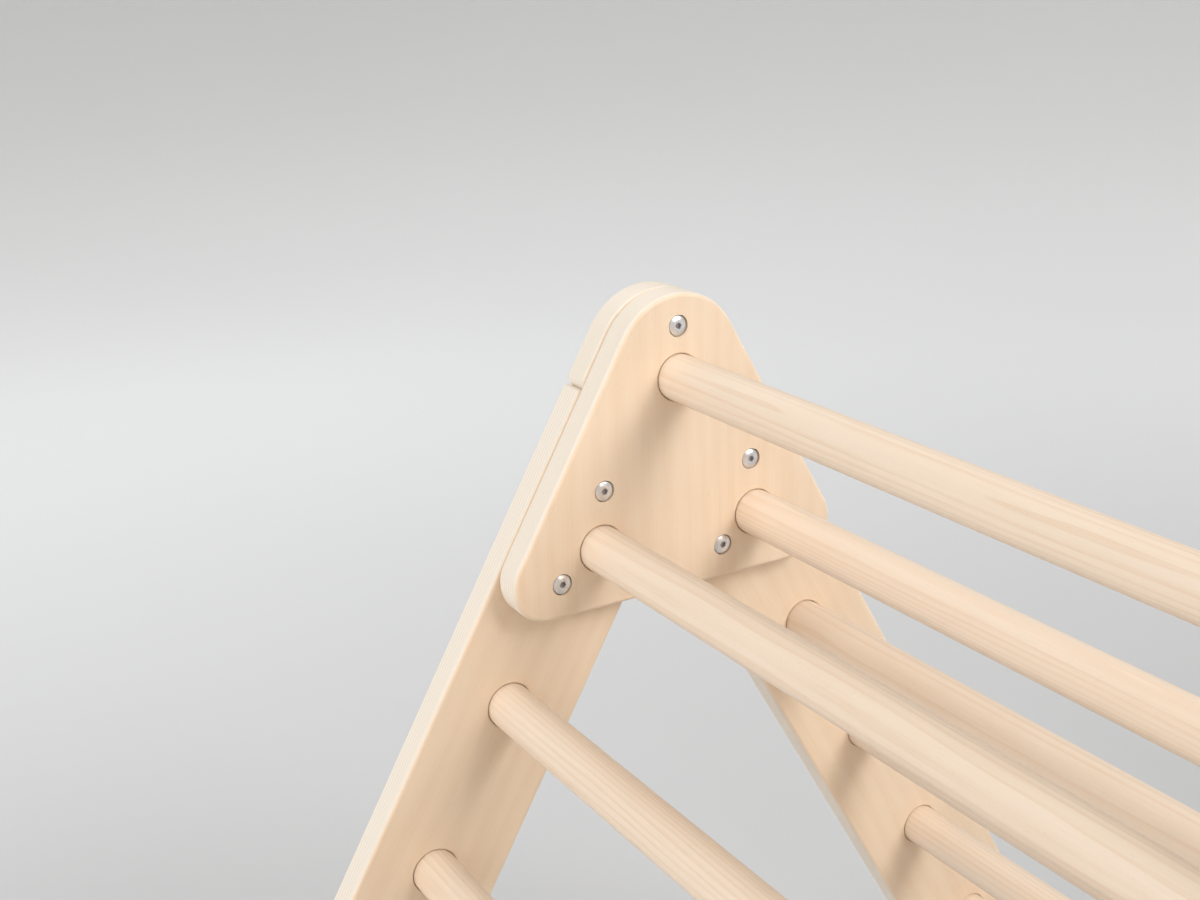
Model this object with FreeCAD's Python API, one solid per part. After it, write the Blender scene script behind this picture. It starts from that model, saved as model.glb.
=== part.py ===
import FreeCAD, Part
import math
import os

# A free-standing children's climbing triangle. Two ladders lean together at 60 degrees and
# share one top rung. On each side the plywood legs butt together at the top, and a plywood
# gusset is bolted flat against their inner faces. Round rungs run between the two sides.
#
# Frame, in millimetres: X runs along the rungs, +Y points to the rear ladder and +Z is up.
# The origin is on the floor, in the middle of the footprint.

Vec = FreeCAD.Vector

# Driving dimensions
RUNG_D = 30.0                   # diameter of every rung
RUNG_PITCH = 118.0              # rung to rung along a leg, which leaves an 88 mm gap
RUNGS_PER_LADDER = 6            # below the shared top rung
PLY = 21.0                      # thickness of the plywood legs and gussets
PLANK_W = 100.0                 # width of a leg
LEAN = math.radians(30.0)       # each leg from the vertical
CLEAR_W = 600.0                 # between the inner faces of the two gussets
TOP_AXIS_Z = 680.0              # axis of the top rung above the floor
GUSSET_DROP = 143.0             # straight lower edge of the gusset, below the top rung's axis

# Rounding
EDGE_ROUND = 3.0                # all plywood edges, both faces
CROWN_ROUND = 46.0              # top of the gusset and of the rear leg
GUSSET_CORNER = 25.0            # lower corners of the gusset
BUTT_CORNER = 4.0               # leg corners where front and rear legs meet
FOOT_CORNER = 8.0               # leg corners at the floor

# Rung seats
SEAT_DEPTH = 12.0               # blind hole in a leg
ENTRY_GAP = 0.4                 # radial clearance where a rung enters a visible face
ENTRY_DEPTH = 3.0               # depth of that clearance in a leg
ENTRY_CHAMFER = 0.7             # broken edge of the hole
RUNG_END_CHAMFER = 1.0

# Connector bolts through gusset and leg, as (down the leg, outwards) from the first rung
BOLT_OFFSETS = [(-34.0, 16.0), (30.0, 16.0), (3.0, -31.0)]
CROWN_BOLT_Z = 33.0             # one more bolt, above the top rung
SINK_D = 14.2                   # counterbore in the gusset, around each bolt head
SINK_DEPTH = 3.2
HEAD_D = 12.4                   # low, wide head of an M6 connector bolt, flush with the gusset
HEAD_WALL = 2.3                 # straight part of the head, under its shallow dome
HEAD_FLAT_D = 8.0               # flat ring around the socket
SHANK_D = 6.0
SHANK_L = 27.0
BOLT_HEX = 4.0                  # across flats
BOLT_HEX_DEPTH = 1.8
BARREL_D = 9.0                  # sleeve nut that the bolt screws into from inside
BARREL_L = 24.0
BARREL_BORE_DEPTH = 18.0
FLANGE_D = 14.0
FLANGE_T = 1.4
FLANGE_CHAMFER = 0.5            # broken edge of the flange
FLANGE_GAP = 0.4                # radial clearance of the flange in the leg
NUT_HEX = 4.0
NUT_HEX_DEPTH = 2.5

# Countersunk screws that hold the rungs, driven from outside
SCREW_HEAD_D = 9.0
SCREW_HEAD_H = 2.4
SCREW_SUNK = 0.4                # top of the head below the leg's face
SCREW_D = 4.5
SCREW_L = 42.0
SCREW_CLEARANCE = 0.15
SCREW_HEX = 3.0
SCREW_HEX_DEPTH = 1.4

# Rubber pads under the feet
PAD_T = 3.0
PAD_L = 88.0
PAD_ROUND = 4.0

# Worked out from the driving dimensions
RUNG_R = RUNG_D / 2
HALF_PLANK = PLANK_W / 2
GUSSET_X = CLEAR_W / 2                      # inner face of the gusset, from the middle
LEG_X = GUSSET_X + PLY                      # inner face of the leg
OUTER_X = LEG_X + PLY                       # outer face of the leg
RUNG_END_X = LEG_X + SEAT_DEPTH
SCREW_HEAD_X = OUTER_X - SCREW_SUNK - SCREW_HEAD_H      # where a rung screw's head begins
SCREW_FLARE = (SCREW_HEAD_D - SCREW_D) / (2 * SCREW_HEAD_H)
SINK_MOUTH_R = SCREW_HEAD_D / 2 + SCREW_SUNK * SCREW_FLARE     # countersink at the leg's face
FOOT_Z = PAD_T - TOP_AXIS_Z                 # underside of a leg, from the top rung's axis
PAD_W = PLY - 2 * EDGE_ROUND
FLAT = 1e-6                                 # an edge shorter than this along X lies in a Y-Z plane


def down_leg(side, along, out):
    """Point (y, z) from the top axis: side is +1 for the rear leg and -1 for the front one."""
    y = side * (along * math.sin(LEAN) + out * math.cos(LEAN))
    z = -along * math.cos(LEAN) + out * math.sin(LEAN)
    return y, z


def on_leg_line(side, out, z):
    """Point on the line parallel to a leg's centreline, out from it, at height z."""
    y = side * (out - z * math.sin(LEAN)) / math.cos(LEAN)
    return y, z


def rounded_outline(corners):
    """Closed wire in the Y-Z plane through (y, z, radius) corners, each rounded by an arc."""
    edges = []
    ends = []
    count = len(corners)
    for index, (y, z, radius) in enumerate(corners):
        here = Vec(0, y, z)
        before = Vec(0, corners[index - 1][0], corners[index - 1][1])
        after = Vec(0, corners[(index + 1) % count][0], corners[(index + 1) % count][1])
        back = (before - here).normalize()
        ahead = (after - here).normalize()
        half_angle = back.getAngle(ahead) / 2
        reach = radius / math.tan(half_angle)
        bisector = (back + ahead).normalize()
        middle = here + bisector * (radius / math.sin(half_angle) - radius)
        start = here + back * reach
        finish = here + ahead * reach
        edges.append(Part.Arc(start, middle, finish).toShape())
        ends.append((start, finish))
    for index in range(count):
        edges.append(Part.LineSegment(ends[index - 1][1], ends[index][0]).toShape())
    return Part.Wire(Part.__sortEdges__(edges))


def plate(corners, thickness, edge_round, x_low):
    """Flat plate with the given outline, rounded over along both faces."""
    solid = Part.Face(rounded_outline(corners)).extrude(Vec(thickness, 0, 0))
    rim = [edge for edge in solid.Edges if edge.BoundBox.XLength < FLAT]
    solid = solid.makeFillet(edge_round, rim)
    solid.translate(Vec(x_low, 0, 0))
    return solid


def rod(radius, x_low, x_high, y, z):
    """Cylinder along X."""
    return Part.makeCylinder(radius, x_high - x_low, Vec(x_low, y, z), Vec(1, 0, 0))


def taper(radius_low, radius_high, x_low, x_high, y, z):
    """Cone along X."""
    length = x_high - x_low
    return Part.makeCone(radius_low, radius_high, length, Vec(x_low, y, z), Vec(1, 0, 0))


def hex_socket(across_flats, x_low, x_high, y, z):
    """Hexagonal prism along X."""
    corner_radius = across_flats / math.sqrt(3)
    points = []
    for step in range(7):
        angle = math.radians(60 * step)
        points.append(Vec(x_low, y + corner_radius * math.cos(angle), z + corner_radius * math.sin(angle)))
    return Part.Face(Part.makePolygon(points)).extrude(Vec(x_high - x_low, 0, 0))


# The right-hand side (+X) is built with its inner face towards -X, and the left is its mirror.

def gusset_corners():
    crown_z = HALF_PLANK / math.sin(LEAN)
    rear_y, low_z = on_leg_line(1, HALF_PLANK, -GUSSET_DROP)
    return [
        (0.0, crown_z, CROWN_ROUND),
        (-rear_y, low_z, GUSSET_CORNER),
        (rear_y, low_z, GUSSET_CORNER),
    ]


def rear_leg_corners():
    """The rear leg carries the rounded crown, as wide as the gusset."""
    crown_z = HALF_PLANK / math.sin(LEAN)
    butt_y, butt_z = on_leg_line(-1, HALF_PLANK, 0.0)
    inner_y, foot_z = on_leg_line(1, -HALF_PLANK, FOOT_Z)
    outer_y, foot_z = on_leg_line(1, HALF_PLANK, FOOT_Z)
    return [
        (0.0, crown_z, CROWN_ROUND),
        (butt_y, butt_z, BUTT_CORNER),
        (inner_y, foot_z, FOOT_CORNER),
        (outer_y, foot_z, FOOT_CORNER),
    ]


def front_leg_corners():
    """The front leg is cut to butt against the rear leg's inner edge."""
    butt_y, butt_z = on_leg_line(-1, HALF_PLANK, 0.0)
    crotch_z = -HALF_PLANK / math.sin(LEAN)
    inner_y, foot_z = on_leg_line(-1, -HALF_PLANK, FOOT_Z)
    outer_y, foot_z = on_leg_line(-1, HALF_PLANK, FOOT_Z)
    return [
        (butt_y, butt_z, BUTT_CORNER),
        (0.0, crotch_z, BUTT_CORNER),
        (inner_y, foot_z, FOOT_CORNER),
        (outer_y, foot_z, FOOT_CORNER),
    ]


def ladder_rungs(side):
    """Rung axes (y, z) down one ladder, first rung first."""
    return [down_leg(side, RUNG_PITCH * step, 0.0) for step in range(1, RUNGS_PER_LADDER + 1)]


def leg_bolts(side):
    """Bolt axes (y, z) around the first rung of one ladder."""
    return [down_leg(side, RUNG_PITCH + along, out) for along, out in BOLT_OFFSETS]


def gusset():
    """Plate with three rung holes and a counterbored hole at every bolt."""
    solid = plate(gusset_corners(), PLY, EDGE_ROUND, GUSSET_X)
    hole_r = RUNG_R + ENTRY_GAP
    tools = []
    for y, z in [(0.0, 0.0), ladder_rungs(1)[0], ladder_rungs(-1)[0]]:
        tools.append(rod(hole_r, GUSSET_X, LEG_X, y, z))
        tools.append(taper(hole_r + ENTRY_CHAMFER, hole_r, GUSSET_X, GUSSET_X + ENTRY_CHAMFER, y, z))
    for y, z in all_bolts():
        tools.append(rod(SINK_D / 2, GUSSET_X, GUSSET_X + SINK_DEPTH, y, z))
        tools.append(rod(BARREL_D / 2, GUSSET_X, LEG_X, y, z))
    return solid.cut(tools)


def leg(corners, covered_rungs, open_rungs, bolts):
    """Plank with blind rung seats, screw holes and bolt holes."""
    solid = plate(corners, PLY, EDGE_ROUND, LEG_X)
    tools = []
    for y, z in covered_rungs + open_rungs:
        tools.append(rod(RUNG_R, LEG_X, RUNG_END_X, y, z))
        tools.append(rod(SCREW_D / 2 + SCREW_CLEARANCE, LEG_X, OUTER_X, y, z))
        tools.append(taper(SCREW_D / 2, SINK_MOUTH_R, SCREW_HEAD_X, OUTER_X, y, z))
    for y, z in open_rungs:
        hole_r = RUNG_R + ENTRY_GAP
        tools.append(rod(hole_r, LEG_X, LEG_X + ENTRY_DEPTH, y, z))
        tools.append(taper(hole_r + ENTRY_CHAMFER, hole_r, LEG_X, LEG_X + ENTRY_CHAMFER, y, z))
    for y, z in bolts:
        tools.append(rod(BARREL_D / 2, LEG_X, OUTER_X, y, z))
        tools.append(rod(FLANGE_D / 2 + FLANGE_GAP, OUTER_X - FLANGE_T, OUTER_X, y, z))
    return solid.cut(tools)


def rung(y, z):
    """Turned rung with a pilot hole for the screw in each end."""
    solid = rod(RUNG_R, -RUNG_END_X, RUNG_END_X, y, z)
    rims = [edge for edge in solid.Edges if len(edge.Vertexes) == 1 and edge.BoundBox.XLength < FLAT]
    solid = solid.makeChamfer(RUNG_END_CHAMFER, rims)
    screw_tip = OUTER_X - SCREW_L
    pilots = [
        rod(SCREW_D / 2, screw_tip, RUNG_END_X, y, z),
        rod(SCREW_D / 2, -RUNG_END_X, -screw_tip, y, z),
    ]
    return solid.cut(pilots)


def bolt(y, z):
    """Low-headed socket bolt, its head standing on the floor of the counterbore."""
    seat_x = GUSSET_X + SINK_DEPTH
    wall_x = seat_x - HEAD_WALL
    rise = wall_x - GUSSET_X
    head_r = HEAD_D / 2
    flat_r = HEAD_FLAT_D / 2
    sphere_offset = (head_r ** 2 - flat_r ** 2 - rise ** 2) / (2 * rise)
    sphere_r = math.hypot(head_r, sphere_offset)
    ball = Part.makeSphere(sphere_r, Vec(wall_x + sphere_offset, y, z))
    dome = rod(head_r, GUSSET_X, wall_x, y, z).common(ball)
    wall = rod(head_r, wall_x, seat_x, y, z)
    shank = rod(SHANK_D / 2, seat_x, seat_x + SHANK_L, y, z)
    solid = dome.fuse([wall, shank]).removeSplitter()
    return solid.cut(hex_socket(BOLT_HEX, GUSSET_X, GUSSET_X + BOLT_HEX_DEPTH, y, z))


def sleeve_nut(y, z):
    """Flanged barrel let in from the leg's outer face."""
    flange_r = FLANGE_D / 2
    edge_x = OUTER_X - FLANGE_CHAMFER
    barrel = rod(BARREL_D / 2, OUTER_X - BARREL_L, OUTER_X, y, z)
    flange = rod(flange_r, OUTER_X - FLANGE_T, edge_x, y, z)
    edge = taper(flange_r, flange_r - FLANGE_CHAMFER, edge_x, OUTER_X, y, z)
    solid = barrel.fuse([flange, edge]).removeSplitter()
    bore = rod(SHANK_D / 2, OUTER_X - BARREL_L, OUTER_X - BARREL_L + BARREL_BORE_DEPTH, y, z)
    return solid.cut([bore, hex_socket(NUT_HEX, OUTER_X - NUT_HEX_DEPTH, OUTER_X, y, z)])


def rung_screw(y, z):
    """Countersunk screw, its head just below the leg's outer face."""
    top_x = OUTER_X - SCREW_SUNK
    head = taper(SCREW_D / 2, SCREW_HEAD_D / 2, SCREW_HEAD_X, top_x, y, z)
    shank = rod(SCREW_D / 2, OUTER_X - SCREW_L, SCREW_HEAD_X, y, z)
    solid = head.fuse(shank).removeSplitter()
    return solid.cut(hex_socket(SCREW_HEX, top_x - SCREW_HEX_DEPTH, top_x, y, z))


def foot_pad(side):
    """Rubber strip glued under one foot."""
    inner_y = on_leg_line(side, -HALF_PLANK, FOOT_Z)[0]
    outer_y = on_leg_line(side, HALF_PLANK, FOOT_Z)[0]
    middle_y = (inner_y + outer_y) / 2
    corner = Vec(LEG_X + EDGE_ROUND, middle_y - PAD_L / 2, FOOT_Z - PAD_T)
    solid = Part.makeBox(PAD_W, PAD_L, PAD_T, corner)
    uprights = [edge for edge in solid.Edges if edge.BoundBox.ZLength > PAD_T / 2]
    return solid.makeFillet(PAD_ROUND, uprights)


def all_bolts():
    return [(0.0, CROWN_BOLT_Z)] + leg_bolts(1) + leg_bolts(-1)


def side_nodes():
    """Every node of the right-hand side, by the name that follows the side's own."""
    front = ladder_rungs(-1)
    rear = ladder_rungs(1)
    rung_axes = [(0.0, 0.0)] + front + rear
    rear_bolts = [(0.0, CROWN_BOLT_Z)] + leg_bolts(1)
    return {
        "gusset": [gusset()],
        "front_leg": [leg(front_leg_corners(), front[:1], front[1:], leg_bolts(-1))],
        "rear_leg": [leg(rear_leg_corners(), [(0.0, 0.0)] + rear[:1], rear[1:], rear_bolts)],
        "gusset_bolts": [bolt(y, z) for y, z in all_bolts()],
        "sleeve_nuts": [sleeve_nut(y, z) for y, z in all_bolts()],
        "rung_screws": [rung_screw(y, z) for y, z in rung_axes],
        "front_foot_pad": [foot_pad(-1)],
        "rear_foot_pad": [foot_pad(1)],
    }


def export(name, solids):
    """Stand the solids on the floor and write them as one node."""
    shape = solids[0] if len(solids) == 1 else Part.makeCompound(solids)
    shape.translate(Vec(0, 0, TOP_AXIS_Z))
    shape.exportStep("parts/" + name + ".step")
    print(name, len(shape.Solids), "solids", round(shape.Volume / 1000.0, 1), "cm3", shape.isValid())


os.makedirs("parts", exist_ok=True)

for node, solids in side_nodes().items():
    mirrored = [solid.mirror(Vec(0, 0, 0), Vec(1, 0, 0)) for solid in solids]
    export("right_" + node, solids)
    export("left_" + node, mirrored)

export("top_rung", [rung(0.0, 0.0)])
for ladder, side in (("front", -1), ("rear", 1)):
    for number, (y, z) in enumerate(ladder_rungs(side), start=1):
        export(ladder + "_rung_" + str(number), [rung(y, z)])
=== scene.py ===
import math
import random

import bmesh
import bpy
from mathutils import Matrix, Vector


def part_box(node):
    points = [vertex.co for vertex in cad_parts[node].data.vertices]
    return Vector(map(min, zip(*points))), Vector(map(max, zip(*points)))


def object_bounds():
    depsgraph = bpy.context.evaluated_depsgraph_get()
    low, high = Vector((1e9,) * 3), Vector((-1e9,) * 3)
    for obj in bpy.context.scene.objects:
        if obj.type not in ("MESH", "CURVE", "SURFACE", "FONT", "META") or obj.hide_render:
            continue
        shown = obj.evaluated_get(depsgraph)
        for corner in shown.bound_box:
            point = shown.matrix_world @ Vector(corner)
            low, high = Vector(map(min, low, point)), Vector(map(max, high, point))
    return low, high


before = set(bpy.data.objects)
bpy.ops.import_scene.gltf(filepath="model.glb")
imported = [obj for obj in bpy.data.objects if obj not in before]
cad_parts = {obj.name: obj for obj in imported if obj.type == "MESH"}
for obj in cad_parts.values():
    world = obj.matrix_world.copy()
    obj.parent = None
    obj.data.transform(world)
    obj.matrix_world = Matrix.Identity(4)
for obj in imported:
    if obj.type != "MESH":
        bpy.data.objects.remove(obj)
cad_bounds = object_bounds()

# Looks of a wooden climbing triangle: birch plywood legs and gussets, solid wood rungs, bright
# nickel-plated fasteners and rubber feet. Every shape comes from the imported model. Units are metres,
# and colours are linear.

MM = 0.001

# Camera. It looks at a point on the left gusset's inner face, placed from the top rung's axis
CAMERA_AZIMUTH = math.radians(59.83)
CAMERA_ELEVATION = math.radians(18.41)
CAMERA_ROLL = math.radians(-1.47)
CAMERA_DISTANCE = 993.1 * MM
CAMERA_LENS = 48.33                     # millimetres
CAMERA_SENSOR = 36.0                    # millimetres
CAMERA_CLIP = 10.0 * MM
AIM_FORWARD = 58.5 * MM                 # from the rung's axis towards the front ladder
AIM_DOWN = 36.9 * MM

# Lamps on the object: place and aim from the camera's target, size, watts, spread in degrees
LAMPS = {
    "key_light": ((2.0, 1.05, 1.52), (0.0, 0.12, -0.05), (1.6, 1.28), 5.9, 55.0),
    "fill_light": ((0.3, -3.4, 1.6), (0.0, 0.0, 0.0), (2.2, 2.2), 21.3, 90.0),
    "side_light": ((-3.6, 0.9, 1.3), (0.0, 0.0, 0.0), (2.2, 2.2), 5.0, 90.0),
}
LAMP_COLOUR = (0.98, 0.99, 1.0)

# Lamps on the backdrop: a ring around the object, facing outwards and down
BACKDROP_LAMPS = 9
BACKDROP_START = math.radians(155.0)
BACKDROP_LAMP_OUT = 2.2
BACKDROP_LAMP_UP = 2.5
BACKDROP_LAMP_SIZE = (1.8, 1.8)
BACKDROP_AIM_OUT = 3.6
BACKDROP_POWER = 10.0
BACKDROP_SPREAD = 120.0

# Surroundings
HORIZON_GLOW = 0.80
ZENITH_GLOW = 0.42
WORLD_COLOUR = (1.0, 0.97, 0.93, 1.0)

# Floor, flat in the middle and swept up all round
FLOOR_RADIUS = 3.2
FLOOR_RINGS = 4                         # in the flat part
SWEEP_RADIUS = 4.5
SWEEP_ANGLE = math.radians(75.0)
SWEEP_STEPS = 24
FLOOR_SEGMENTS = 128
FLOOR_GAP = 0.2 * MM                    # keeps the floor off the underside of the pads
# The floor's colour is painted light and shade: darker near the middle, paler further out.
FLOOR_NEAR_SHADED = (0.60, 0.605, 0.615, 1.0)
FLOOR_FAR_LIT = (0.846, 0.858, 0.869, 1.0)
FLOOR_NEAR_R = 0.6                      # the floor's colour changes between these two radii
FLOOR_FAR_R = 4.5
FLOOR_CLOUD = (0.8, 0.8, 0.8)           # cells per metre, as for every noise below
FLOOR_TOOTH = (300.0, 300.0, 300.0)
FLOOR_ROUGHNESS = 0.75
FLOOR_SPECULAR = 0.2

# Wood
FIRST_SEED = 11
FIBRE_BUMP = 0.06 * MM
WOOD_SPECULAR = 0.35

# Plywood; its noises' numbers run through the layers, across the face grain and along it
PLY_PALE = (0.89, 0.71, 0.53, 1.0)
PLY_HONEY = (0.79, 0.58, 0.395, 1.0)
PLY_FLECK = (0.50, 0.32, 0.18, 1.0)
EDGE_SIDE_GRAIN = (0.89, 0.81, 0.71, 1.0)
EDGE_END_GRAIN = (0.83, 0.73, 0.61, 1.0)
GLUE_LINE = (0.52, 0.38, 0.25, 1.0)
VENEERS = 15                            # layers in a plate, grain alternating
PLY_SWAY = (2.0, 9.0, 2.2)
PLY_SWAY_REACH = 55.0 * MM              # how far the figure sways across the face
PLY_BANDS = 420.0                       # radians of figure per metre across the grain
PLY_MOTTLE = (6.0, 22.0, 9.0)
PLY_FIBRE = (900.0, 700.0, 26.0)
PLY_PORES = (1500.0, 1500.0, 210.0)
PLY_CUT = (1600.0, 260.0, 260.0)
PLY_SHIFT = 5.0                         # each plate's pattern is moved by up to this much
PLY_ROUGHNESS = 0.38
FACE_ENDS = 0.5 * MM                    # below a face, where its veneer starts to give way ...
EDGE_BEGINS = 1.5 * MM                  # ... and where the layers show in full

# Rungs; their noises' numbers run along the rung, then twice across it
RUNG_PALE = (0.86, 0.72, 0.58, 1.0)
RUNG_HONEY = (0.76, 0.57, 0.41, 1.0)
RUNG_FLECK = (0.55, 0.38, 0.24, 1.0)
PITH_AWAY = (28.0, 75.0)                # millimetres from the rung's axis to the tree's
RING_WIDTH = (2.6, 4.2)                 # millimetres
RUNG_SWAY = (2.6, 22.0, 22.0)
RUNG_SWAY_REACH = 9.0 * MM
RUNG_WAVER = (4.0, 70.0, 70.0)
RUNG_WAVER_REACH = 1.6                  # in growth rings
RUNG_FIBRE = (24.0, 1100.0, 1100.0)
RUNG_MOTTLE = (3.0, 45.0, 45.0)
RUNG_PORES = (300.0, 1500.0, 1500.0)
RUNG_SHIFT = 3.0
RUNG_ROUGHNESS = 0.30

# Nickel plate
NICKEL_BRIGHT = (0.92, 0.90, 0.89, 1.0)
NICKEL_DULL = (0.80, 0.78, 0.78, 1.0)
# painted shade: the dark colour the plate takes deep in its recesses and sockets
NICKEL_RECESS_SHADE = (0.36, 0.33, 0.32, 1.0)
NICKEL_SMUDGE = (160.0, 160.0, 160.0)
NICKEL_SCUFF = (2600.0, 900.0, 900.0)
NICKEL_ROUGHNESS = 0.16
SCUFF_BUMP = 0.02 * MM
SCUFF_STRENGTH = 0.3
# the painted recess shade starts at the first depth and is full at the second
RECESS_SHADE_STARTS = 0.9 * MM                  # below the wood's face
RECESS_SHADE_FULL = 1.8 * MM

# Rubber
RUBBER_BLACK = (0.022, 0.022, 0.023, 1.0)
RUBBER_DUSTY = (0.075, 0.072, 0.068, 1.0)
RUBBER_STIPPLE = (1400.0, 1400.0, 1400.0)
RUBBER_DUST = (60.0, 60.0, 60.0)
RUBBER_ROUGHNESS = 0.55
STIPPLE_BUMP = 0.15 * MM


class Shader:
    """One node material, built up node by node around a Principled surface."""

    def __init__(self, name):
        self.material = bpy.data.materials.new(name)
        self.material.use_nodes = True
        self.tree = self.material.node_tree
        self.tree.nodes.clear()
        output = self.tree.nodes.new("ShaderNodeOutputMaterial")
        self.surface = self.tree.nodes.new("ShaderNodeBsdfPrincipled")
        self.tree.links.new(self.surface.outputs["BSDF"], output.inputs["Surface"])
        coordinates = self.tree.nodes.new("ShaderNodeTexCoord")
        self.place = coordinates.outputs["Object"]
        self.normal = coordinates.outputs["Normal"]

    def feed(self, socket, value):
        """Link an output to the socket, or set the socket's own value."""
        if isinstance(value, bpy.types.NodeSocket):
            self.tree.links.new(value, socket)
        else:
            socket.default_value = value

    def math(self, operation, first, second=0.0, clamp=False):
        node = self.tree.nodes.new("ShaderNodeMath")
        node.operation = operation
        node.use_clamp = clamp
        self.feed(node.inputs[0], first)
        self.feed(node.inputs[1], second)
        return node.outputs[0]

    def total(self, *terms):
        """Sum of (weight, value) terms."""
        result = self.math("MULTIPLY", terms[0][1], terms[0][0])
        for weight, value in terms[1:]:
            result = self.math("ADD", result, self.math("MULTIPLY", value, weight))
        return result

    def split(self, vector):
        node = self.tree.nodes.new("ShaderNodeSeparateXYZ")
        self.feed(node.inputs[0], vector)
        return node.outputs[0], node.outputs[1], node.outputs[2]

    def mapped(self, vector, kind="POINT", move=(0, 0, 0), turn=0.0):
        """The vector turned about X, and then moved if it is a point."""
        node = self.tree.nodes.new("ShaderNodeMapping")
        node.vector_type = kind
        self.feed(node.inputs["Vector"], vector)
        if kind == "POINT":
            node.inputs["Location"].default_value = move
        node.inputs["Rotation"].default_value = (turn, 0.0, 0.0)
        return node.outputs[0]

    def stretched(self, vector, per_metre):
        node = self.tree.nodes.new("ShaderNodeVectorMath")
        node.operation = "MULTIPLY"
        self.feed(node.inputs[0], vector)
        node.inputs[1].default_value = per_metre
        return node.outputs[0]

    def noise(self, vector, per_metre, detail=2.0, roughness=0.5):
        """Noise from 0 to 1, with its own number of cells per metre along each axis."""
        node = self.tree.nodes.new("ShaderNodeTexNoise")
        self.feed(node.inputs["Vector"], self.stretched(vector, per_metre))
        node.inputs["Scale"].default_value = 1.0
        node.inputs["Detail"].default_value = detail
        node.inputs["Roughness"].default_value = roughness
        return node.outputs["Fac"]

    def step(self, value, low, high):
        """Smooth rise from 0 at low to 1 at high."""
        node = self.tree.nodes.new("ShaderNodeMapRange")
        node.interpolation_type = "SMOOTHSTEP"
        self.feed(node.inputs["Value"], value)
        node.inputs["From Min"].default_value = low
        node.inputs["From Max"].default_value = high
        return node.outputs["Result"]

    def mix(self, factor, first, second):
        """Blend of two colours."""
        node = self.tree.nodes.new("ShaderNodeMix")
        node.data_type = "RGBA"
        colours = [socket for socket in node.inputs if socket.type == "RGBA"]
        self.feed(node.inputs["Factor"], factor)
        self.feed(colours[0], first)
        self.feed(colours[1], second)
        return next(socket for socket in node.outputs if socket.type == "RGBA")

    def between(self, value, low, high):
        """The value from 0 to 1, spread from low to high."""
        return self.math("ADD", self.math("MULTIPLY", value, high - low), low)

    def finish(self, colour, roughness, height=None, bump=0.0, strength=0.5):
        """Feed the surface and return the material."""
        self.feed(self.surface.inputs["Base Color"], colour)
        self.feed(self.surface.inputs["Roughness"], roughness)
        if height is not None:
            node = self.tree.nodes.new("ShaderNodeBump")
            node.inputs["Strength"].default_value = strength
            node.inputs["Distance"].default_value = bump
            self.feed(node.inputs["Height"], height)
            self.feed(self.surface.inputs["Normal"], node.outputs["Normal"])
        return self.material


def ply_face(shader, grain, mottle, fibre, pores):
    """Colour of the rotary-cut veneer on a plate's faces."""
    sway = shader.noise(grain, PLY_SWAY, detail=2.0)
    across = shader.split(grain)[1]
    swayed = shader.math("ADD", across, shader.math("MULTIPLY", sway, PLY_SWAY_REACH))
    bands = shader.math("SINE", shader.math("MULTIPLY", swayed, PLY_BANDS))
    bands = shader.between(bands, 0.5, 1.0)
    figure = shader.total((0.16, bands), (0.80, mottle), (0.45, fibre))
    figure = shader.step(figure, 0.25, 1.45)
    colour = shader.mix(figure, PLY_PALE, PLY_HONEY)
    return shader.mix(shader.math("MULTIPLY", pores, 0.22), colour, PLY_FLECK)


def ply_edge(shader, grain, grain_turn, layer):
    """Colour of the layers on a plate's edges, and how strongly the glue lines between them show."""
    facing = shader.mapped(shader.normal, kind="NORMAL", turn=grain_turn)
    across_facing, along_facing = [shader.math("ABSOLUTE", part) for part in shader.split(facing)[1:]]
    crossed = shader.math("MODULO", shader.math("FLOOR", layer), 2.0)
    straight = shader.math("SUBTRACT", 1.0, crossed)
    end_grain = shader.math("ADD", shader.math("MULTIPLY", straight, along_facing),
                            shader.math("MULTIPLY", crossed, across_facing))
    cut = shader.noise(grain, PLY_CUT, detail=3.0, roughness=0.65)
    end_tone = shader.math("MULTIPLY", end_grain, shader.between(cut, 0.55, 1.35), clamp=True)
    colour = shader.mix(end_tone, EDGE_SIDE_GRAIN, EDGE_END_GRAIN)
    from_middle = shader.math("ABSOLUTE", shader.math("SUBTRACT", shader.math("FRACT", layer), 0.5))
    glue = shader.step(from_middle, 0.42, 0.49)
    glue = shader.math("MULTIPLY", glue, shader.between(cut, 0.15, 0.75))
    return shader.mix(glue, colour, GLUE_LINE), glue


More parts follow.
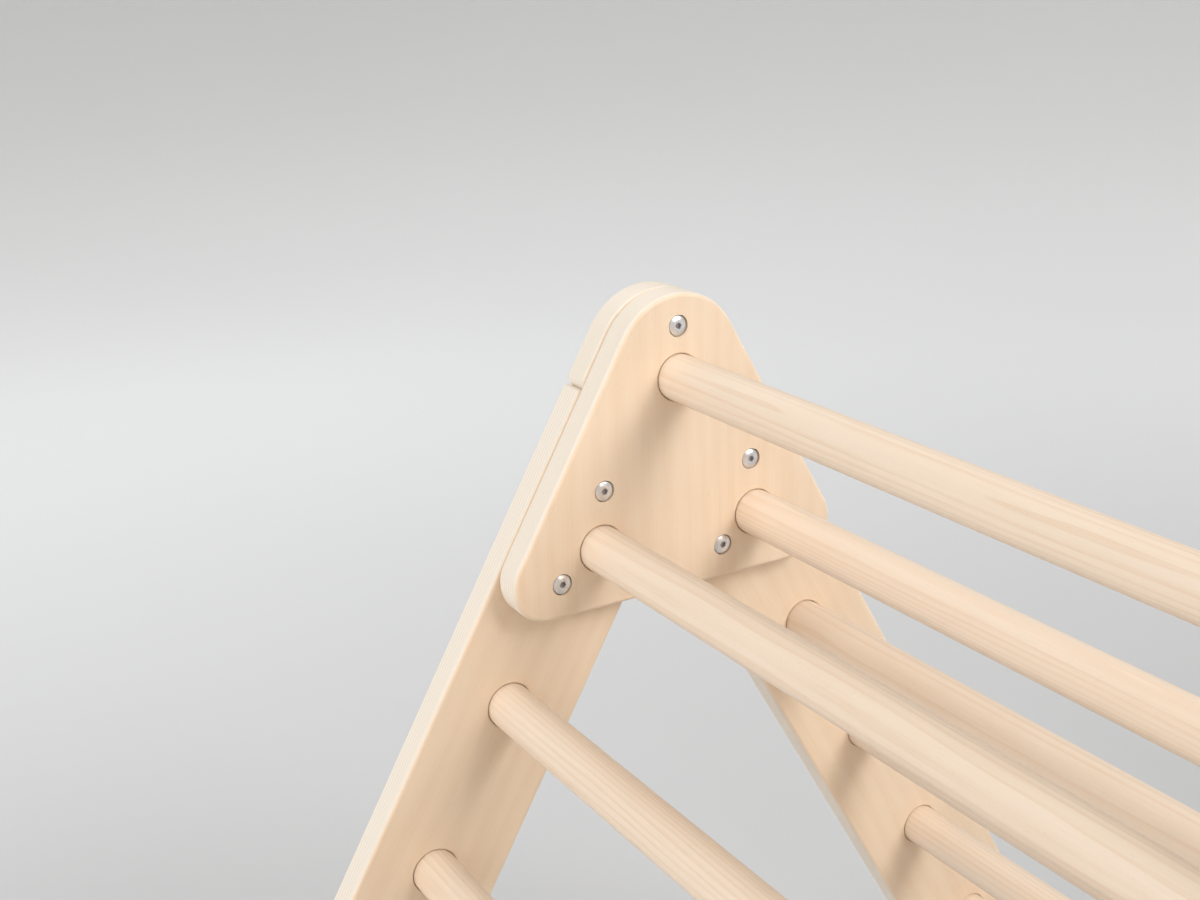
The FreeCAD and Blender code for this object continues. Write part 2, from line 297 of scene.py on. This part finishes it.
def plywood(name, node, grain_turn, seed):
    """Lacquered birch plywood: veneer on the faces, and alternating layers on every edge.

    grain_turn turns the plate about X until its face grain runs along Z.
    """
    low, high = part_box(node)
    inner_x = min(abs(low.x), abs(high.x))
    thickness = high.x - low.x
    chance = random.Random(seed)
    shader = Shader(name)
    shift = [chance.uniform(-PLY_SHIFT, PLY_SHIFT) for _ in range(3)]
    grain = shader.mapped(shader.place, move=shift, turn=grain_turn)
    side_x = shader.math("ABSOLUTE", shader.split(shader.place)[0])
    depth = shader.math("SUBTRACT", side_x, inner_x)
    from_face = shader.math("MINIMUM", depth, shader.math("SUBTRACT", thickness, depth))
    from_face = shader.math("MAXIMUM", from_face, 0.0)

    mottle = shader.noise(grain, PLY_MOTTLE, detail=2.0)
    fibre = shader.noise(grain, PLY_FIBRE, detail=3.0, roughness=0.6)
    pores = shader.step(shader.noise(grain, PLY_PORES, detail=1.0), 0.68, 0.80)
    face = ply_face(shader, grain, mottle, fibre, pores)
    layer = shader.math("DIVIDE", depth, thickness / VENEERS)
    edge, glue = ply_edge(shader, grain, grain_turn, layer)
    cut = shader.step(from_face, FACE_ENDS, EDGE_BEGINS)
    colour = shader.mix(cut, face, edge)
    gloss = shader.total((0.10, mottle), (0.08, fibre), (0.10, cut))
    roughness = shader.math("ADD", gloss, PLY_ROUGHNESS)
    height = shader.total((0.5, fibre), (-0.8, pores), (-0.5, shader.math("MULTIPLY", glue, cut)))
    shader.surface.inputs["Specular IOR Level"].default_value = WOOD_SPECULAR
    return shader.finish(colour, roughness, height, bump=FIBRE_BUMP)


def growth_rings(shader, grain, pith_away, ring_width):
    """Late wood of the growth rings, from 0 to 1, about a pith that lies outside the rung."""
    sway = shader.noise(grain, RUNG_SWAY, detail=2.0)
    waver = shader.noise(grain, RUNG_WAVER, detail=2.0)
    _, across, radial = shader.split(grain)
    ring_y = shader.math("ADD", across, shader.math("MULTIPLY", sway, RUNG_SWAY_REACH))
    ring_z = shader.math("ADD", radial, pith_away)
    squares = shader.math("ADD", shader.math("POWER", ring_y, 2.0), shader.math("POWER", ring_z, 2.0))
    rings = shader.math("DIVIDE", shader.math("SQRT", squares), ring_width)
    phase = shader.math("ADD", rings, shader.math("MULTIPLY", waver, RUNG_WAVER_REACH))
    growth = shader.math("FRACT", phase)
    return shader.math("MULTIPLY", shader.step(growth, 0.35, 0.90),
                       shader.math("SUBTRACT", 1.0, shader.step(growth, 0.93, 1.0)))


def rung_wood(name, node, seed):
    """Turned, lacquered rung."""
    low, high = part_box(node)
    centre = (low + high) / 2
    chance = random.Random(seed)
    shader = Shader(name)
    shift = chance.uniform(-RUNG_SHIFT, RUNG_SHIFT)
    centred = shader.mapped(shader.place, move=(shift, -centre.y, -centre.z))
    grain = shader.mapped(centred, turn=chance.uniform(0.0, math.tau))
    pith_away = chance.uniform(*PITH_AWAY) * MM
    ring_width = chance.uniform(*RING_WIDTH) * MM

    late_wood = growth_rings(shader, grain, pith_away, ring_width)
    fibre = shader.noise(grain, RUNG_FIBRE, detail=3.0, roughness=0.6)
    mottle = shader.noise(grain, RUNG_MOTTLE, detail=2.0)
    pores = shader.step(shader.noise(grain, RUNG_PORES, detail=1.0), 0.69, 0.80)
    tone = shader.total((0.34, late_wood), (0.60, fibre), (0.85, mottle))
    colour = shader.mix(shader.step(tone, 0.35, 1.60), RUNG_PALE, RUNG_HONEY)
    colour = shader.mix(shader.math("MULTIPLY", pores, 0.25), colour, RUNG_FLECK)
    gloss = shader.total((0.16, fibre), (0.14, mottle), (0.05, late_wood))
    roughness = shader.math("ADD", gloss, RUNG_ROUGHNESS)
    height = shader.total((0.6, fibre), (-0.6, pores), (0.25, late_wood))
    shader.surface.inputs["Specular IOR Level"].default_value = WOOD_SPECULAR
    return shader.finish(colour, roughness, height, bump=FIBRE_BUMP)


def nickel(name, face_x):
    """Bright nickel plate with fine scuffs and faint smudges, and painted shade that darkens it in the
    recesses.

    face_x is the distance from the middle of the frame to the wood's face around the fastener.
    """
    shader = Shader(name)
    smudge = shader.noise(shader.place, NICKEL_SMUDGE, detail=3.0)
    scuff = shader.noise(shader.place, NICKEL_SCUFF, detail=2.0)
    bright = shader.mix(shader.step(smudge, 0.35, 0.75), NICKEL_BRIGHT, NICKEL_DULL)
    side_x = shader.math("ABSOLUTE", shader.split(shader.place)[0])
    depth = shader.math("ABSOLUTE", shader.math("SUBTRACT", side_x, face_x))
    # painted shade: the plate darkens with depth below the wood's face
    recess_shade = shader.step(depth, RECESS_SHADE_STARTS, RECESS_SHADE_FULL)
    colour = shader.mix(recess_shade, bright, NICKEL_RECESS_SHADE)
    gloss = shader.total((0.18, smudge), (0.12, scuff), (0.10, recess_shade))
    roughness = shader.math("ADD", gloss, NICKEL_ROUGHNESS)
    shader.surface.inputs["Metallic"].default_value = 1.0
    return shader.finish(colour, roughness, scuff, bump=SCUFF_BUMP, strength=SCUFF_STRENGTH)


def rubber(name):
    """Dark moulded rubber with a fine stipple and dusty patches."""
    shader = Shader(name)
    stipple = shader.noise(shader.place, RUBBER_STIPPLE, detail=2.0)
    dust = shader.noise(shader.place, RUBBER_DUST, detail=4.0)
    colour = shader.mix(shader.step(dust, 0.4, 0.8), RUBBER_BLACK, RUBBER_DUSTY)
    roughness = shader.math("ADD", shader.math("MULTIPLY", dust, 0.3), RUBBER_ROUGHNESS)
    return shader.finish(colour, roughness, stipple, bump=STIPPLE_BUMP)


def backdrop_paint(name):
    """Matt grey studio floor with painted light: its colour is darker near the middle and paler further
    out.
    """
    shader = Shader(name)
    cloud = shader.noise(shader.place, FLOOR_CLOUD, detail=3.0)
    east, north, _ = shader.split(shader.place)
    squares = shader.math("ADD", shader.math("POWER", east, 2.0), shader.math("POWER", north, 2.0))
    # painted light: the floor's colour brightens with distance from the middle
    away = shader.step(shader.math("SQRT", squares), FLOOR_NEAR_R, FLOOR_FAR_R)
    tone = shader.total((0.9, away), (0.1, cloud))
    colour = shader.mix(tone, FLOOR_NEAR_SHADED, FLOOR_FAR_LIT)
    tooth = shader.noise(shader.place, FLOOR_TOOTH, detail=2.0)
    roughness = shader.math("ADD", shader.math("MULTIPLY", tooth, 0.1), FLOOR_ROUGHNESS)
    shader.surface.inputs["Specular IOR Level"].default_value = FLOOR_SPECULAR
    return shader.finish(colour, roughness)


def studio_floor(level):
    """Round floor that curves up into a wall on all sides."""
    profile = [(FLOOR_RADIUS * ring / FLOOR_RINGS, 0.0) for ring in range(1, FLOOR_RINGS + 1)]
    for step in range(1, SWEEP_STEPS + 1):
        angle = SWEEP_ANGLE * step / SWEEP_STEPS
        radius = FLOOR_RADIUS + SWEEP_RADIUS * math.sin(angle)
        profile.append((radius, SWEEP_RADIUS * (1 - math.cos(angle))))
    shape = bmesh.new()
    middle = shape.verts.new((0.0, 0.0, level))
    rings = []
    for radius, rise in profile:
        ring = []
        for segment in range(FLOOR_SEGMENTS):
            angle = math.tau * segment / FLOOR_SEGMENTS
            ring.append(shape.verts.new((radius * math.cos(angle), radius * math.sin(angle), level + rise)))
        rings.append(ring)
    for segment in range(FLOOR_SEGMENTS):
        beside = (segment + 1) % FLOOR_SEGMENTS
        shape.faces.new((middle, rings[0][segment], rings[0][beside]))
        for inner, outer in zip(rings, rings[1:]):
            shape.faces.new((inner[segment], outer[segment], outer[beside], inner[beside]))
    mesh = bpy.data.meshes.new("studio_floor")
    shape.to_mesh(mesh)
    shape.free()
    mesh.shade_smooth()
    floor = bpy.data.objects.new("studio_floor", mesh)
    bpy.context.scene.collection.objects.link(floor)
    mesh.materials.append(backdrop_paint("backdrop"))


def softbox(name, place, target, size, power, spread):
    """Area light aimed at the target; a narrow spread, in degrees, dims it off its axis."""
    data = bpy.data.lights.new(name, "AREA")
    data.shape = "RECTANGLE"
    data.size, data.size_y = size
    data.energy = power
    data.spread = math.radians(spread)
    data.color = LAMP_COLOUR
    light = bpy.data.objects.new(name, data)
    light.location = place
    light.rotation_euler = (target - place).to_track_quat("-Z", "Y").to_euler()
    light.visible_camera = False
    bpy.context.scene.collection.objects.link(light)


def studio_world():
    """Warm white surroundings, brighter towards the horizon."""
    world = bpy.data.worlds.new("studio_world")
    world.use_nodes = True
    nodes = world.node_tree.nodes
    links = world.node_tree.links
    direction = nodes.new("ShaderNodeTexCoord")
    parts = nodes.new("ShaderNodeSeparateXYZ")
    glow = nodes.new("ShaderNodeMapRange")
    glow.inputs["To Min"].default_value = HORIZON_GLOW
    glow.inputs["To Max"].default_value = ZENITH_GLOW
    links.new(direction.outputs["Generated"], parts.inputs[0])
    links.new(parts.outputs["Z"], glow.inputs["Value"])
    links.new(glow.outputs["Result"], nodes["Background"].inputs["Strength"])
    nodes["Background"].inputs["Color"].default_value = WORLD_COLOUR
    bpy.context.scene.world = world


def studio_light(target):
    """A soft key at the right, a broad fill at the front, a weak one at the left, and backdrop lamps."""
    for name, (place, aim, size, power, spread) in LAMPS.items():
        softbox(name, target + Vector(place), target + Vector(aim), size, power, spread)
    for number in range(BACKDROP_LAMPS):
        angle = BACKDROP_START + math.tau * number / BACKDROP_LAMPS
        outwards = Vector((math.cos(angle), math.sin(angle), 0.0))
        place = outwards * BACKDROP_LAMP_OUT + Vector((0.0, 0.0, BACKDROP_LAMP_UP))
        aim = outwards * BACKDROP_AIM_OUT
        name = "backdrop_light_" + str(number + 1)
        softbox(name, place, aim, BACKDROP_LAMP_SIZE, BACKDROP_POWER, BACKDROP_SPREAD)


def aim_camera():
    """Camera close in front of the apex, between the two sides; returns the point it looks at."""
    rung_low, rung_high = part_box("top_rung")
    axis = (rung_low + rung_high) / 2
    inner_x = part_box("left_gusset")[1].x
    target = Vector((inner_x, axis.y - AIM_FORWARD, axis.z - AIM_DOWN))
    flat = math.cos(CAMERA_ELEVATION)
    right = Vector((math.cos(CAMERA_AZIMUTH), math.sin(CAMERA_AZIMUTH), 0.0))
    back = Vector((flat * right.y, -flat * right.x, math.sin(CAMERA_ELEVATION)))
    up = back.cross(right)
    axes = Matrix((right, up, back)).transposed()
    turned = axes @ Matrix.Rotation(CAMERA_ROLL, 3, "Z")
    camera = bpy.data.objects.new("camera", bpy.data.cameras.new("camera"))
    camera.data.lens = CAMERA_LENS
    camera.data.sensor_width = CAMERA_SENSOR
    camera.data.clip_start = CAMERA_CLIP
    camera.matrix_world = Matrix.Translation(target + back * CAMERA_DISTANCE) @ turned.to_4x4()
    bpy.context.scene.collection.objects.link(camera)
    bpy.context.scene.camera = camera
    return target


def lean_of(ladder):
    """Angle of a leg from the vertical, towards -Y at the top, from its first and last rungs."""
    rungs = sorted(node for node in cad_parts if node.startswith(ladder + "_rung_"))
    first = sum(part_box(rungs[0]), Vector()) / 2
    last = sum(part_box(rungs[-1]), Vector()) / 2
    rise = first - last
    return math.atan2(-rise.y, rise.z)


def dress(node, material):
    """Give every slot of a carried-over node the material."""
    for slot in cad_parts[node].material_slots:
        slot.material = material


def dress_wood():
    """Every plate and rung gets a board of its own."""
    seed = FIRST_SEED
    for side in ("left", "right"):
        dress(side + "_gusset", plywood(side + "_gusset_ply", side + "_gusset", 0.0, seed))
        seed += 1
        for ladder in ("front", "rear"):
            node = side + "_" + ladder + "_leg"
            dress(node, plywood(node + "_ply", node, -lean_of(ladder), seed))
            seed += 1
    for node in sorted(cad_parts):
        if "_rung" in node and not node.endswith("_screws"):
            dress(node, rung_wood(node + "_wood", node, seed))
            seed += 1


def dress_hardware():
    """Nickel on the fasteners of the inner and outer faces, and rubber on the pads."""
    inner_nickel = nickel("inner_nickel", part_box("right_gusset")[0].x)
    outer_nickel = nickel("outer_nickel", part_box("right_front_leg")[1].x)
    for side in ("left", "right"):
        dress(side + "_gusset_bolts", inner_nickel)
        for part in ("sleeve_nuts", "rung_screws"):
            dress(side + "_" + part, outer_nickel)
    black_rubber = rubber("foot_rubber")
    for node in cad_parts:
        if node.endswith("_foot_pad"):
            dress(node, black_rubber)


aim = aim_camera()
studio_world()
studio_light(aim)
studio_floor(cad_bounds[0].z - FLOOR_GAP)
dress_wood()
dress_hardware()

bpy.context.scene.view_settings.view_transform = "Standard"
